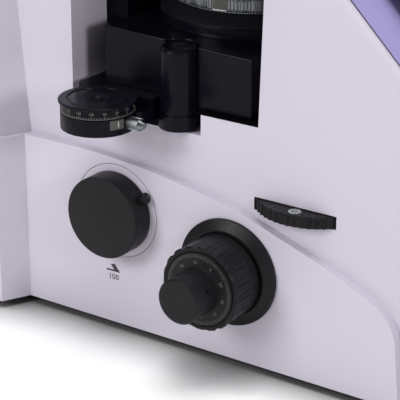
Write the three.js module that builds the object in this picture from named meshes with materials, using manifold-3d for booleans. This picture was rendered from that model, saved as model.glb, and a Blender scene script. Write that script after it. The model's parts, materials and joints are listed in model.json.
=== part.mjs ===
// Inverted metallurgical microscope, in millimetres, +Z up.
// +X is the microscope's right, the user sits at -Y, and Z = 0 is the table.
// The stand's own frame has y = 0 at the side camera port; the whole group is then
// shifted so that the origin lies under the middle of its bounding box.
import * as THREE from "three";
import { mergeVertices } from "three/addons/utils/BufferGeometryUtils.js";
import Module from "manifold-3d";

const wasm = await Module();
wasm.setup();

// ---------- driving dimensions ----------
const GAP = 0.3; // air between pieces that touch
const WALL = 5; // thickness of the cast housing
const FINE = 24; // sides of a large round piece
const ROUND = 16; // sides of a middling round piece
const SMALL = 12; // sides of a small round piece

const CENTRE_Y = 3.11; // middle of the bounding box in the stand's frame
const BASE_Z = 5; // underside of the casting, above the feet
const TOP_Z = 270; // seat of the stage on both towers
const FRONT_Y = -215;
const REAR_Y = 225;
const CORE_X = 84; // half width of the upper body
const PANEL_X = 90; // half width of the raised lower side panels
const REAR_X = 108; // half width of the rear housing
const SLOPE_SUM = 384.6; // z - y on the 45 degree face that carries the head
const BAY_FRONT = -97;
const BAY_REAR = 36.5;
const SILL_Z = 152;
const NOTCH_Z = 139.2;
const NOTCH_FRONT = -57.6;
const REAR_TOP_Z = 235;
const TOWER_REAR = 130;
const SHOULDER_Z = 116; // top of the raised side panels at the rear
const REAR_STEP = 2.5; // step back of the rear housing's front faces above the shoulder
const REAR_LEAN = 0.093; // their lean, in y per z

const OPTIC_Y = -6.5; // objective axis
const TURRET_Y = -39;
const OBJECTIVE_RING = TURRET_Y - OPTIC_Y; // radius of the objectives' circle, negative: to the rear
const PORT_Z = 81;
const LAMP_AXIS_Z = 172;

const FOCUS_Y = -82.1;
const FOCUS_Z = 61.4;
const COARSE_R = 25.6;
const FINE_R = 13.8;
const KNOB_END_X = 142.4;

const MODULE = 1; // of the focusing rack and pinion
const PINION_TEETH = 12;
const PITCH_R = (MODULE * PINION_TEETH) / 2;

const POST_X = 77.5;
const BOSS_X = 79;
const BOSS_Y = -39;
const POST_R = 4;

// ---------- materials ----------
const finish = (color, roughness, metalness) => () =>
  new THREE.MeshStandardMaterial({ color, roughness, metalness });
const lilacPaint = finish(0xd2cbda, 0.45, 0.0);
const violetPaint = finish(0x9b92c4, 0.45, 0.0);
const blackPaint = finish(0x14151d, 0.35, 0.0);
const blackPlastic = finish(0x2a2b2e, 0.6, 0.0);
const rubber = finish(0x1a1a1c, 0.9, 0.0);
const steel = finish(0xa9abb0, 0.35, 1.0);
const darkMetal = finish(0x2c2d33, 0.4, 0.6);
const glass = finish(0xcfe3ea, 0.05, 0.0);
const mirrorCoat = finish(0xe6e8ec, 0.05, 1.0);

// ---------- solids ----------
function signedVolume(positions, index) {
  let volume = 0;
  const [a, b, c] = [new THREE.Vector3(), new THREE.Vector3(), new THREE.Vector3()];
  for (let i = 0; i < index.length; i += 3) {
    a.fromArray(positions, index[i] * 3);
    b.fromArray(positions, index[i + 1] * 3);
    c.fromArray(positions, index[i + 2] * 3);
    volume += a.dot(b.cross(c)) / 6;
  }
  return volume;
}

function solid(geometry) {
  const bare = geometry.clone();
  bare.deleteAttribute("normal");
  bare.deleteAttribute("uv");
  const merged = mergeVertices(bare, 1e-4);
  const vertProperties = new Float32Array(merged.attributes.position.array);
  const triVerts = new Uint32Array(merged.index.array);
  if (signedVolume(vertProperties, triVerts) < 0) {
    for (let i = 0; i < triVerts.length; i += 3) {
      [triVerts[i], triVerts[i + 1]] = [triVerts[i + 1], triVerts[i]];
    }
  }
  return new wasm.Manifold(new wasm.Mesh({ numProp: 3, vertProperties, triVerts }));
}

function geometryOf(body) {
  const mesh = body.getMesh();
  const geometry = new THREE.BufferGeometry();
  geometry.setAttribute("position", new THREE.BufferAttribute(new Float32Array(mesh.vertProperties), 3));
  geometry.setIndex(new THREE.BufferAttribute(new Uint32Array(mesh.triVerts), 1));
  geometry.computeVertexNormals();
  return geometry;
}

const joined = (...bodies) => bodies.reduce((sum, body) => sum.add(body));
const cut = (body, ...tools) => tools.reduce((rest, tool) => rest.subtract(tool), body);

function box(x, y, z) {
  const geometry = new THREE.BoxGeometry(x[1] - x[0], y[1] - y[0], z[1] - z[0]);
  geometry.translate((x[0] + x[1]) / 2, (y[0] + y[1]) / 2, (z[0] + z[1]) / 2);
  return solid(geometry);
}

const AXIS_TURN = {
  x: new THREE.Matrix4().makeRotationZ(-Math.PI / 2),
  y: new THREE.Matrix4(),
  z: new THREE.Matrix4().makeRotationX(Math.PI / 2),
};

// A body of revolution. The profile lists [radius, distance along the axis].
function turned(axis, profile, centre = [0, 0, 0], sides = ROUND) {
  const points = profile.map(([r, t]) => new THREE.Vector2(r, t));
  const geometry = new THREE.LatheGeometry(points, sides);
  geometry.applyMatrix4(AXIS_TURN[axis]);
  geometry.translate(...centre);
  return solid(geometry);
}

function rod(axis, radius, from, to, centre = [0, 0, 0], sides = ROUND) {
  return turned(axis, [[0, from], [radius, from], [radius, to], [0, to]], centre, sides);
}

function tube(axis, inner, outer, from, to, centre = [0, 0, 0], sides = ROUND) {
  const ring = [[inner, from], [outer, from], [outer, to], [inner, to], [inner, from]];
  return turned(axis, ring, centre, sides);
}

// An outline in Y and Z, extruded symmetrically along X.
function sideProfile(outline, halfWidth) {
  const geometry = new THREE.ExtrudeGeometry(outline, { depth: 2 * halfWidth, bevelEnabled: false });
  geometry.translate(0, 0, -halfWidth);
  const toSide = new THREE.Matrix4().set(0, 0, 1, 0, 1, 0, 0, 0, 0, 1, 0, 0, 0, 0, 0, 1);
  return solid(geometry.applyMatrix4(toSide));
}

// An outline in X and Y, extruded along Z.
function planProfile(outline, from, to) {
  const geometry = new THREE.ExtrudeGeometry(outline, { depth: to - from, bevelEnabled: false });
  geometry.translate(0, 0, from);
  return solid(geometry);
}

function outlineOf(points) {
  return new THREE.Shape(points.map(([u, v]) => new THREE.Vector2(u, v)));
}

const microscope = new THREE.Group();
const stand = new THREE.Group();
stand.position.y = -CENTRE_Y;
microscope.add(stand);

function piece(name, body, material, parent = stand, position = [0, 0, 0], turnZ = 0) {
  const mesh = new THREE.Mesh(geometryOf(body), material());
  mesh.name = name;
  mesh.position.set(...position);
  mesh.rotation.z = turnZ;
  parent.add(mesh);
}

// ---------- main housing ----------
// The stand seen from the side: front tower with the slope, bay for the nosepiece, rear tower.
function coreOutline(inset, frontInset, bottom) {
  const slope = SLOPE_SUM - frontInset * Math.SQRT2;
  const front = FRONT_Y + frontInset;
  const top = TOP_Z - inset;
  return outlineOf([
    [REAR_Y - inset, bottom],
    [REAR_Y - inset, REAR_TOP_Z - inset],
    [TOWER_REAR - inset, REAR_TOP_Z - inset],
    [TOWER_REAR - inset, top],
    [BAY_REAR + inset, top],
    [BAY_REAR + inset, NOTCH_Z - inset],
    [NOTCH_FRONT - inset, NOTCH_Z - inset],
    [NOTCH_FRONT - inset, SILL_Z - inset],
    [BAY_FRONT - inset, SILL_Z - inset],
    [BAY_FRONT - inset, top],
    [top - slope, top],
    [front, front + slope],
    [front, bottom],
  ]);
}

// The raised panel on each side, with its long curved shoulder.
function panelOutline(inset, bottom) {
  const shape = new THREE.Shape();
  shape.moveTo(75 - inset, bottom);
  shape.lineTo(75 - inset, SHOULDER_Z - inset);
  shape.lineTo(30, SHOULDER_Z - inset);
  shape.bezierCurveTo(-40, 115 - inset, -110, 98.7 - inset, -178 + inset / 2, 65.5 - inset);
  shape.quadraticCurveTo(-190 + inset, 59.6 - inset, -193 + inset, 45);
  shape.lineTo(-197 + inset, bottom);
  return new THREE.Shape(shape.getPoints(14));
}

// The wider rear housing. Its front faces splay outwards, and above the side panels
// they step back a little and lean back.
function rearHousing(inset, bottom) {
  const half = REAR_X - inset;
  const plan = outlineOf([
    [-half, REAR_Y - inset],
    [-half, 80.3 + inset],
    [-CORE_X + WALL, 65.8 + inset],
    [CORE_X - WALL, 65.8 + inset],
    [half, 80.3 + inset],
    [half, REAR_Y - inset],
  ]);
  const lower = planProfile(plan, bottom, SHOULDER_Z);
  const depth = REAR_TOP_Z - inset - SHOULDER_Z + 0.1;
  const lean = new THREE.ExtrudeGeometry(plan, { depth, bevelEnabled: false });
  const shear = new THREE.Matrix4().set(1, 0, 0, 0, 0, 1, REAR_LEAN, 0, 0, 0, 1, 0, 0, 0, 0, 1);
  lean.applyMatrix4(shear).translate(0, REAR_STEP, SHOULDER_Z - 0.1);
  const limit = box([-REAR_X, REAR_X], [0, REAR_Y - inset], [0, REAR_TOP_Z]);
  return lower.add(solid(lean).intersect(limit));
}

function housingShape(inset, frontInset, bottom) {
  return joined(
    sideProfile(coreOutline(inset, frontInset, bottom), CORE_X - inset),
    sideProfile(panelOutline(inset, bottom), PANEL_X - inset),
    rearHousing(inset, bottom),
  );
}

const HEAD_SEAT_Y = (TOP_Z - SLOPE_SUM + FRONT_Y) / 2;
const HEAD_SEAT_Z = HEAD_SEAT_Y + SLOPE_SUM;
const PANEL_DEPTH = 3;
const VIOLET_X = 79.5;

// The violet cover's band on the slope and the front, grown on every side by a margin.
function frontBand(margin) {
  const depth = PANEL_DEPTH + margin;
  const top = 263 + margin;
  const foot = 30 - margin;
  const inner = SLOPE_SUM - depth * Math.SQRT2;
  const outer = SLOPE_SUM + margin * 4;
  return outlineOf([
    [top - outer, top],
    [FRONT_Y - margin * 4, outer + FRONT_Y - margin * 4],
    [FRONT_Y - margin * 4, foot],
    [FRONT_Y + depth, foot],
    [FRONT_Y + depth, inner + FRONT_Y + depth],
    [top - inner, top],
  ]);
}

function headBore(radius) {
  const bore = rod("z", radius, -30, 30, [0, 0, 0], FINE);
  return bore.rotate([45, 0, 0]).translate([0, HEAD_SEAT_Y, HEAD_SEAT_Z]);
}

const WHEEL = { x: -59.5, y: -122.5, r: 36, z0: 102.3, z1: 109.1 };
const LEVER_Y = 165;
const LEVER_SLOT = 26;

function mainHousing() {
  const shell = cut(housingShape(0, 0, BASE_Z), housingShape(WALL, WALL + PANEL_DEPTH, BASE_Z - 10));
  const postPads = [-1, 1].map((side) => {
    const x = [side * 68, side * 81].sort((a, b) => a - b);
    return box(x, [-47, -31], [122, NOTCH_Z - 1]);
  });
  const wheelBracket = box([-81, WHEEL.x + 7], [-129.5, -115.5], [84, WHEEL.z0 - 10.5]);
  const lensBarrel = rod("z", 19, 118, NOTCH_Z - 1, [0, OPTIC_Y, 0]);
  const casting = joined(shell, ...postPads, wheelBracket, lensBarrel);
  const postHoles = [-1, 1].map((side) => (
    rod("z", POST_R + GAP, 123.5, 160, [side * POST_X, BOSS_Y, 0], SMALL)
  ));
  return cut(
    casting,
    ...postHoles,
    rod("z", 15.5, 100, 160, [0, OPTIC_Y, 0]),
    sideProfile(frontBand(0.5), VIOLET_X + 0.5),
    headBore(32),
    rod("x", 8, -120, 120, [0, FOCUS_Y, FOCUS_Z], SMALL),
    rod("x", 30.4, -120, -PANEL_X + 3.3, [0, 0, PORT_Z], FINE),
    rod("x", 21.4, -120, -70, [0, 0, PORT_Z], FINE),
    rod("z", WHEEL.r + 0.8, WHEEL.z0 - 0.6, WHEEL.z1 + 0.6, [WHEEL.x, WHEEL.y, 0], FINE),
    box([29, 47], [-79, -64], [SILL_Z - 10, SILL_Z + 5]),
    rod("y", 24.6, BAY_REAR - 5, REAR_Y + 5, [0, 0, LAMP_AXIS_Z]),
    box([-LEVER_SLOT, LEVER_SLOT], [LEVER_Y - 4, LEVER_Y + 4], [REAR_TOP_Z - 10, REAR_TOP_Z + 5]),
    box([41, 69], [REAR_Y - 10, REAR_Y + 5], [34, 56]),
    box([1, 15], [REAR_Y - 10, REAR_Y + 5], [34, 56]),
  );
}

function bottomCover() {
  const inner = housingShape(WALL + GAP, WALL + PANEL_DEPTH + GAP, BASE_Z - 10);
  return inner.intersect(box([-200, 200], [-300, 300], [BASE_Z + 0.5, BASE_Z + 3.5]));
}

function foot() {
  return turned("z", [
    [0, 0],
    [12.5, 0],
    [14, 1.5],
    [14, BASE_Z + 0.2],
    [0, BASE_Z + 0.2],
  ], [0, 0, 0], SMALL);
}

piece("main_housing", mainHousing(), lilacPaint);
piece("bottom_cover", bottomCover(), darkMetal);
const FEET = {
  front_left: [-62, -180],
  front_right: [62, -180],
  rear_left: [-85, 195],
  rear_right: [85, 195],
};
for (const [corner, [x, y]] of Object.entries(FEET)) {
  piece(`foot_${corner}`, foot(), rubber, stand, [x, y, 0]);
}
piece("front_panel", cut(sideProfile(frontBand(0), VIOLET_X), headBore(36)), violetPaint);

// ---------- side camera port ----------
const CAP_R = 25.8;
const CAP_END_X = PANEL_X + 15.3;
const PORT_SCREW_TURN = 31; // degrees above the horizontal, towards the front
const PORT_SCREW_X = -94.2;

// A radial stud in the port's frame: along -Y, then turned up about X.
function portStud(radius, from, to) {
  const stud = rod("y", radius, -to, -from, [PORT_SCREW_X, 0, 0], SMALL);
  return stud.rotate([-PORT_SCREW_TURN, 0, 0]);
}

function portRing() {
  return tube("x", 21.9, 30, -PANEL_X - 0.3, -PANEL_X + 3, [0, 0, 0], FINE);
}

function portTube() {
  const neck = tube("x", 16, 21, -PANEL_X - 9, -66, [0, 0, 0], FINE);
  return neck.add(tube("x", 16, 27, -78.5, -74, [0, 0, 0], FINE));
}

function portCap() {
  const shell = turned("x", [
    [0, -CAP_END_X],
    [CAP_R - 1.5, -CAP_END_X],
    [CAP_R, -CAP_END_X + 1.5],
    [CAP_R, -PANEL_X - 0.7],
    [21.4, -PANEL_X - 0.7],
    [21.4, -CAP_END_X + 4],
    [0, -CAP_END_X + 4],
  ], [0, 0, 0], FINE);
  return cut(shell, portStud(2.1, 10, 30));
}

function portScrew() {
  return joined(portStud(1.8, 21.8, 27), portStud(3.4, 26.4, 30.2));
}

const port = [0, 0, PORT_Z];
piece("port_ring", portRing(), lilacPaint, stand, port);
piece("port_tube", portTube(), steel, stand, port);
piece("port_cap", portCap(), blackPlastic, stand, port);
piece("port_lock_screw", portScrew(), darkMetal, stand, port);

// ---------- coaxial focus ----------
// Turned pieces of the left side. The right side is the same turned about Z.
function focusFlange() {
  return turned("x", [
    [6.8, -PANEL_X - 0.3],
    [33.2, -PANEL_X - 0.3],
    [33.2, -PANEL_X - 2.3],
    [31.5, -PANEL_X - 3],
    [27.2, -PANEL_X - 5.4],
    [26, -PANEL_X - 5.4],
    [25.6, -PANEL_X - 4.4],
    [6.8, -PANEL_X - 4.4],
    [6.8, -PANEL_X - 0.3],
  ], [0, 0, 0], FINE);
}

function coarseKnob() {
  const rear = -PANEL_X - 6.3;
  const front = -PANEL_X - 30.9;
  return turned("x", [
    [6.3, rear],
    [COARSE_R, rear],
    [COARSE_R, front + 1],
    [COARSE_R - 0.8, front],
    [23, front],
    [23, front + 2],
    [6.3, front + 2],
    [6.3, rear],
  ], [0, 0, 0], FINE);
}

function fineKnob() {
  const seat = -PANEL_X - 29.2;
  const face = seat - 2;
  return turned("x", [
    [3.7, seat],
    [22.6, seat],
    [22.6, face + 0.5],
    [21, face],
    [14.4, face - 0.4],
    [14.2, face - 1.5],
    [FINE_R, -KNOB_END_X + 1.2],
    [FINE_R - 1.2, -KNOB_END_X],
    [0, -KNOB_END_X],
    [0, -131],
    [3.7, -131],
    [3.7, seat],
  ], [0, 0, 0], ROUND);
}

function involute(radius) {
  const base = PITCH_R * Math.cos(Math.PI / 9);
  const angle = Math.acos(Math.min(1, base / Math.max(radius, base)));
  return Math.tan(angle) - angle;
}

const BACKLASH = 0.24;

function pinionOutline() {
  const pitchAngle = Math.PI / (2 * PINION_TEETH) - BACKLASH / (2 * PITCH_R);
  const flank = [PITCH_R - 1.15, PITCH_R - 0.36, PITCH_R, PITCH_R + 0.8];
  const halfAngle = (r) => pitchAngle + involute(PITCH_R) - involute(r);
  const points = [];
  for (let tooth = 0; tooth < PINION_TEETH; tooth += 1) {
    const middle = ((tooth + 0.5) * 2 * Math.PI) / PINION_TEETH;
    for (const r of flank) {
      points.push([r * Math.cos(middle - halfAngle(r)), r * Math.sin(middle - halfAngle(r))]);
    }
    for (const r of [...flank].reverse()) {
      points.push([r * Math.cos(middle + halfAngle(r)), r * Math.sin(middle + halfAngle(r))]);
    }
  }
  return outlineOf(points);
}

function pinionShaft() {
  const teeth = sideProfile(pinionOutline(), 9).translate([38, 0, 0]);
  const journal = rod("x", PITCH_R, -118, 118, [0, 0, 0], ROUND);
  const relief = tube("x", PITCH_R - 1.15, 9, 28.5, 47.5);
  return cut(cut(journal, relief).add(teeth), rod("x", 3.7, -130, 130, [0, 0, 0], SMALL));
}

// Teeth face the front and mesh with the pinion at the height of the focus axis.
function focusRack() {
  const pitch = Math.PI * MODULE;
  const pitchY = FOCUS_Y + PITCH_R;
  const slant = Math.tan(Math.PI / 9);
  const half = pitch / 4 - BACKLASH / 2;
  const points = [[-66, 40], [-66, SILL_Z + 0.3], [pitchY + 1.1, SILL_Z + 0.3]];
  for (let tooth = 5; tooth >= -5; tooth -= 1) {
    const z = FOCUS_Z + tooth * pitch;
    points.push([pitchY + 1.1, z + half + 1.1 * slant]);
    points.push([pitchY - 0.7, z + half - 0.7 * slant]);
    points.push([pitchY - 0.7, z - half + 0.7 * slant]);
    points.push([pitchY + 1.1, z - half - 1.1 * slant]);
  }
  points.push([pitchY + 1.1, 40]);
  return sideProfile(outlineOf(points), 7).translate([38, 0, 0]);
}

const focusAxis = [0, FOCUS_Y, FOCUS_Z];
for (const [side, turn] of [["left", 0], ["right", Math.PI]]) {
  piece(`focus_flange_${side}`, focusFlange(), blackPlastic, stand, focusAxis, turn);
  piece(`coarse_knob_${side}`, coarseKnob(), blackPlastic, stand, focusAxis, turn);
  piece(`fine_knob_${side}`, fineKnob(), blackPlastic, stand, focusAxis, turn);
}
piece("pinion_shaft", pinionShaft(), steel, stand, focusAxis);
piece("fine_shaft", rod("x", 3.2, -130, 130, [0, 0, 0], SMALL), steel, stand, focusAxis);
piece("focus_rack", focusRack(), steel);

// ---------- nosepiece carriage ----------
const CARRIAGE_Z = [152.6, 190.5];

function carriage() {
  const block = box([-77.5, 77.5], [-89, 16.5], CARRIAGE_Z);
  const bosses = [-1, 1].map((side) => joined(
    rod("z", 11.6, 149, 188.5, [side * BOSS_X, BOSS_Y, 0]),
    rod("z", 12.1, 140, 149.1, [side * BOSS_X, BOSS_Y, 0]),
  ));
  const seat = turned("z", [
    [0, 190],
    [57, 190],
    [57, 197],
    [48.8, 202.9],
    [46.7, 202.9],
    [46.7, 193.3],
    [0, 193.3],
  ], [0, TURRET_Y, 0], FINE);
  const guides = [-1, 1].map((side) => (
    rod("z", POST_R + 0.35, 130, 185, [side * POST_X, BOSS_Y, 0], SMALL)
  ));
  return cut(
    joined(block, ...bosses, seat),
    ...guides,
    box([-25, 25], [-31, 20], [150, 186]),
    rod("z", 10.5, 180, 200, [0, OPTIC_Y, 0]),
  );
}

piece("nosepiece_carriage", carriage(), blackPaint);
for (const [side, x] of [["left", -POST_X], ["right", POST_X]]) {
  piece(`guide_post_${side}`, rod("z", POST_R, 124, 181, [0, 0, 0], SMALL), steel, stand, [x, BOSS_Y, 0]);
}

// ---------- revolving nosepiece ----------
const TURRET_TOP = 214;

function turretBowl() {
  const bowl = turned("z", [
    [0, 193.6],
    [40, 193.6],
    [45.6, 200.2],
    [44.2, 200.6],
    [44.2, TURRET_TOP],
    [0, TURRET_TOP],
  ], [0, 0, 0], FINE);
  const holes = [0, 1, 2, 3, 4].map((i) => {
    const angle = Math.PI / 2 + (i * 2 * Math.PI) / 5;
    const centre = [-OBJECTIVE_RING * Math.cos(angle), -OBJECTIVE_RING * Math.sin(angle), 0];
    return rod("z", 10.5, 190, 220, centre, SMALL);
  });
  return cut(bowl, ...holes);
}

// Plain lathe work of one objective, from its thread up to the front lens.
function objective(bodyR, shoulder, noseR, tip) {
  return turned("z", [
    [0, -6],
    [10, -6],
    [10, 0.3],
    [12.5, 0.3],
    [12.5, 4],
    [bodyR, 5],
    [bodyR, shoulder],
    [noseR + 2.5, shoulder + 5],
    [noseR, tip - 1],
    [noseR - 0.8, tip],
    [noseR - 2.2, tip],
    [noseR - 2.6, tip - 0.8],
    [0, tip - 0.8],
  ], [0, 0, 0], SMALL + 4);
}

const turret = new THREE.Group();
turret.position.set(0, TURRET_Y, 0);
stand.add(turret);
piece("turret_bowl", turretBowl(), blackPaint, turret);
piece("turret_grip_ring", tube("z", 44.5, 48.5, 203.3, TURRET_TOP, [0, 0, 0], FINE), steel, turret);
const OBJECTIVES = [
  { bodyR: 14, shoulder: 22, noseR: 8, tip: 42 },
  { bodyR: 14, shoulder: 26, noseR: 6.5, tip: 43.5 },
  { bodyR: 14, shoulder: 29, noseR: 5.5, tip: 44.5 },
  { bodyR: 14, shoulder: 32, noseR: 5, tip: 45 },
  { bodyR: 13, shoulder: 16, noseR: 9, tip: 34 },
];
OBJECTIVES.forEach(({ bodyR, shoulder, noseR, tip }, i) => {
  const angle = Math.PI / 2 + (i * 2 * Math.PI) / 5;
  const place = [-OBJECTIVE_RING * Math.cos(angle), -OBJECTIVE_RING * Math.sin(angle), TURRET_TOP];
  piece(`objective_${i + 1}`, objective(bodyR, shoulder, noseR, tip), steel, turret, place);
});

// ---------- analyser ----------
const DIAL = { x: -113.6, y: OPTIC_Y + 1, r: 23.1, top: 161 };
const HOLDER_Z = [143.6, 152]; // underside and top of the sliding arm
const DRUM_TOP = 153.5;
const RIB_REAR = 29.5;
const RIB_TOP = 157.2;
const CLAMP_Z = 150;

function analyserHolder() {
  const arm = new THREE.Shape();
  arm.moveTo(-79, DIAL.y - 21);
  arm.lineTo(-79, DIAL.y + 24);
  arm.lineTo(-94, DIAL.y + 24);
  arm.quadraticCurveTo(-103, DIAL.y + 24, -106, DIAL.y + 12);
  arm.lineTo(-106, DIAL.y - 12);
  arm.quadraticCurveTo(-103, DIAL.y - 21, -96, DIAL.y - 21);
  const slab = planProfile(new THREE.Shape(arm.getPoints(5)), ...HOLDER_Z);
  const rib = planProfile(outlineOf([
    [-79, DIAL.y - 21],
    [-79, RIB_REAR - 13],
    [-52, RIB_REAR - 13],
    [-52, RIB_REAR],
    [-86, RIB_REAR],
    [-89, RIB_REAR - 1.6],
    [-90.2, RIB_REAR - 5],
    [-90.2, DIAL.y - 21],
  ]), HOLDER_Z[1] - 1, RIB_TOP);
  const drum = rod("z", 22, HOLDER_Z[0], DRUM_TOP, [DIAL.x, DIAL.y, 0], FINE);
  const tongue = box([-80, 24], [OPTIC_Y - 20, OPTIC_Y + 20], HOLDER_Z);
  const runners = [OPTIC_Y - 20, OPTIC_Y + 16].map((y) => (
    box([-60, 24], [y, y + 4], [NOTCH_Z + 0.4, HOLDER_Z[0] + 1])
  ));
  return cut(
    joined(slab, rib, drum, tongue, ...runners),
    rod("z", 17.4, 130, 160, [0, OPTIC_Y, 0]),
    rod("z", 3.4, 130, 160, [DIAL.x, DIAL.y, 0], SMALL),
    rod("y", 2.3, DIAL.y - 30, DIAL.y - 8, [DIAL.x, 0, CLAMP_Z], SMALL),
  );
}

function analyserDial() {
  return turned("z", [
    [0, HOLDER_Z[0] + 1],
    [3, HOLDER_Z[0] + 1],
    [3, DRUM_TOP + 0.4],
    [22, DRUM_TOP + 0.4],
    [22, 158.8],
    [DIAL.r, 159.4],
    [DIAL.r, DIAL.top - 0.4],
    [DIAL.r - 0.4, DIAL.top],
    [0, DIAL.top],
  ], [0, 0, 0], FINE);
}

// The clamp screw, radial in the drum and pointing at the user.
function analyserScrew() {
  return turned("y", [
    [0, -10.5],
    [1.9, -10.5],
    [1.9, -22.4],
    [3.9, -22.4],
    [3.9, -31],
    [3.4, -31.6],
    [1.7, -34],
    [0, -34],
  ], [0, 0, 0], SMALL);
}

const GLASS_Z = 147.8;
piece("analyser_holder", analyserHolder(), blackPaint);
piece("analyser_dial", analyserDial(), blackPlastic, stand, [DIAL.x, DIAL.y, 0]);
piece("analyser_lock_screw", analyserScrew(), steel, stand, [DIAL.x, DIAL.y, CLAMP_Z]);
piece("analyser_cell", rod("z", 17, GLASS_Z - 3, GLASS_Z + 3), glass, stand, [0, OPTIC_Y, 0]);

// ---------- brightness wheel ----------
piece("brightness_wheel", turned("z", [
  [0, WHEEL.z0 - 10.2],
  [3, WHEEL.z0 - 10.2],
  [3, WHEEL.z0],
  [WHEEL.r - 0.8, WHEEL.z0],
  [WHEEL.r, WHEEL.z0 + 0.8],
  [WHEEL.r, WHEEL.z1 - 0.8],
  [WHEEL.r - 0.8, WHEEL.z1],
  [0, WHEEL.z1],
], [0, 0, 0], FINE), blackPlastic, stand, [WHEEL.x, WHEEL.y, 0]);

// ---------- reflected-light illuminator ----------
function reflectorCube() {
  const shell = box([-20, 20], [OPTIC_Y - 20, OPTIC_Y + 20], [154.5, 184.5]);
  const bored = cut(
    shell,
    rod("z", 13, 150, 190, [0, OPTIC_Y, 0], SMALL),
    rod("y", 12, OPTIC_Y, 30, [0, 0, 169.5], SMALL),
  );
  const plate = box([-18, 18], [-16, 16], [-1, 1]).rotate([45, 0, 0]).translate([0, OPTIC_Y, 169.5]);
  return bored.add(plate);
}

function column() {
  const post = box([-49.5, 49.5], [20.3, 36.2], [NOTCH_Z + 0.4, 262]);
  return cut(post, rod("y", 20, 10, 50, [0, 0, LAMP_AXIS_Z]));
}

function leverRing() {
  const ring = tube("y", 24.8, 29, LEVER_Y - 3, LEVER_Y + 3);
  const stem = box([-2, 2], [LEVER_Y - 2, LEVER_Y + 2], [28, 76]);
  const tip = turned("z", [[0, 70], [4, 71], [5, 74], [4, 79], [0, 80]], [0, LEVER_Y, 0], SMALL);
  return joined(ring, stem, tip);
}

const HOUSE = { x: 50, front: REAR_Y + 0.4, rear: 328, z0: 112, z1: 232 };

function lampHouse() {
  const outer = box([-HOUSE.x, HOUSE.x], [HOUSE.front, HOUSE.rear - 4], [HOUSE.z0, HOUSE.z1]);
  const fins = [];
  for (let y = HOUSE.front + 18; y < HOUSE.rear - 12; y += 9) {
    fins.push(box([-HOUSE.x - 4, HOUSE.x + 4], [y, y + 3], [HOUSE.z0 + 8, HOUSE.z1 - 8]));
  }
  const back = [];
  for (let x = -40; x < 40; x += 11) {
    back.push(box([x, x + 3], [HOUSE.rear - 5, HOUSE.rear], [HOUSE.z0 + 8, HOUSE.z1 - 8]));
  }
  const inner = HOUSE.x - 4;
  const hollow = box([-inner, inner], [HOUSE.front + 4, HOUSE.rear - 8], [HOUSE.z0 + 4, HOUSE.z1 - 4]);
  const vents = [];
  for (let y = HOUSE.front + 16; y < HOUSE.rear - 16; y += 12) {
    vents.push(box([-inner + 2, inner - 2], [y, y + 5], [HOUSE.z1 - 10, HOUSE.z1 + 1]));
  }
  return cut(
    joined(outer, ...fins, ...back),
    hollow,
    ...vents,
    rod("y", 22, HOUSE.front - 5, HOUSE.front + 8, [0, 0, LAMP_AXIS_Z]),
  );
}

function lampSocket() {
  const post = box([-14, 14], [258, 278], [HOUSE.z0 + 4.3, 152]);
  const bulb = turned("z", [
    [0, 151],
    [6, 151],
    [6.5, 160],
    [7.5, 172],
    [5, 181],
    [0, 184],
  ], [0, 268, 0], SMALL);
  return joined(post, bulb);
}

// A simple lens: two shallow caps on a disc.
function lens(axis, radius, edge, crown, centre) {
  const half = edge / 2;
  const profile = [[0, -half - crown]];
  for (const [r, t] of [[0.55, 0.7], [0.85, 0.28], [1, 0]]) {
    profile.push([r * radius, -half - t * crown]);
  }
  for (const [r, t] of [[1, 0], [0.85, 0.28], [0.55, 0.7]]) {
    profile.push([r * radius, half + t * crown]);
  }
  profile.push([0, half + crown]);
  return turned(axis, profile, centre, ROUND);
}

piece("reflector_cube", reflectorCube(), darkMetal);
piece("illuminator_column", column(), blackPaint);
const lampAxis = [0, 0, LAMP_AXIS_Z];
piece("illuminator_tube", tube("y", 20, 24, BAY_REAR + 0.3, REAR_Y - 0.5), darkMetal, stand, lampAxis);
piece("diaphragm_lever", leverRing(), darkMetal, stand, lampAxis);
piece("collector_lens", lens("y", 19.6, 5, 3, [0, 205, 0]), glass, stand, lampAxis);
piece("lamp_house", lampHouse(), blackPaint);
piece("lamp_bulb", lampSocket(), glass);

// ---------- imaging optics inside the base ----------
const MIRROR_Z = HEAD_SEAT_Z - (OPTIC_Y - HEAD_SEAT_Y);

function foldingMirror() {
  const tilt = THREE.MathUtils.degToRad(22.5);
  const half = 16;
  const rise = half * Math.sin(tilt);
  const run = half * Math.cos(tilt);
  return sideProfile(outlineOf([
    [OPTIC_Y - run, 9],
    [OPTIC_Y + run, 9],
    [OPTIC_Y + run, MIRROR_Z + rise],
    [OPTIC_Y - run, MIRROR_Z - rise],
  ]), 20);
}

function cameraPrism() {
  const size = 12;
  const outline = outlineOf([[-size, PORT_Z - size], [size, PORT_Z - size], [-size, PORT_Z + size]]);
  const geometry = new THREE.ExtrudeGeometry(outline, { depth: 2 * size, bevelEnabled: false });
  geometry.rotateX(Math.PI / 2).translate(0, OPTIC_Y + size, 0);
  return solid(geometry);
}

piece("tube_lens", lens("z", 15, 5, 2.5, [0, 0, 126]), glass, stand, [0, OPTIC_Y, 0]);
piece("camera_prism", cameraPrism(), glass);
piece("folding_mirror", foldingMirror(), mirrorCoat);

// ---------- mechanical stage ----------
const STAGE_Z = [270.3, 278.3, 278.6, 286.1, 286.4, 295];
const KNOB_X = 118;
const STAGE_KNOB_Y = -40;

function slab(halfX, front, rear, z0, z1) {
  return box([-halfX, halfX], [front, rear], [z0, z1]);
}

function stageBase() {
  return cut(slab(100, -116, 103, STAGE_Z[0], STAGE_Z[1]), rod("z", 50, 260, 300, [0, OPTIC_Y, 0], FINE));
}

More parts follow.
